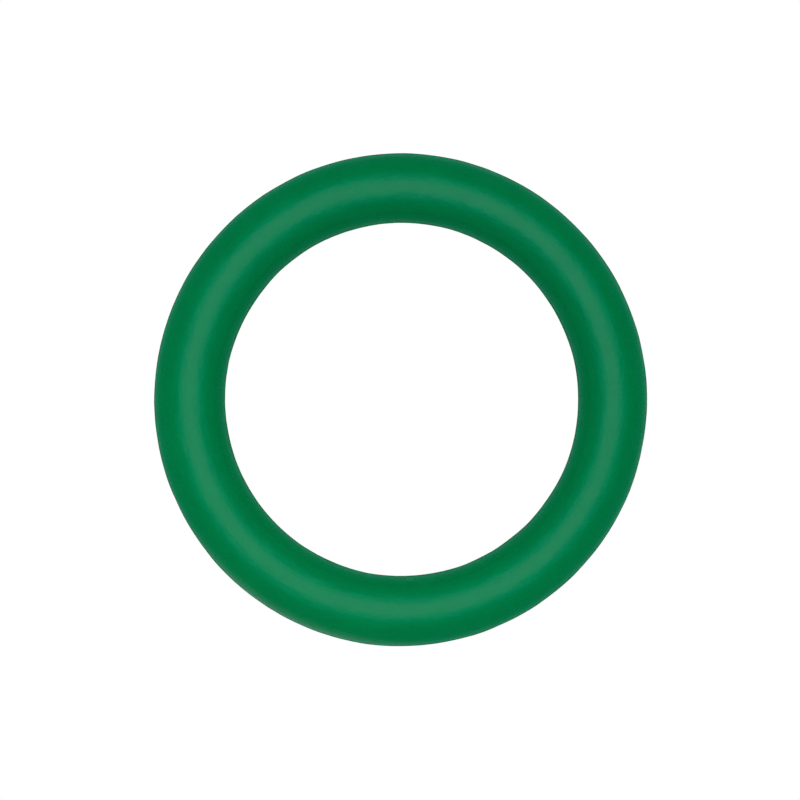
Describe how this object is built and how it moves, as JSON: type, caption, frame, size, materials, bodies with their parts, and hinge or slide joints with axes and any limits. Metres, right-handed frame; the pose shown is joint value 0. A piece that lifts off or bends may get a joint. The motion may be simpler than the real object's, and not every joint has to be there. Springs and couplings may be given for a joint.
{
  "type": "vibration dampener",
  "caption": "Plain ring of soft rubber with a round section, pressed between two racket strings to damp them.",
  "frame": {"origin": "centre of the ring, on its middle plane", "axes": "+Z along the ring's axis; the ring lies flat on XY, and X and Y are alike"},
  "size_m": [0.0222, 0.0222, 0.003],
  "materials": {
    "ring_rubber": "satin"
  },
  "bodies": {
    "root": {"damper_ring": "ring_rubber"}
  },
  "joints": []
}
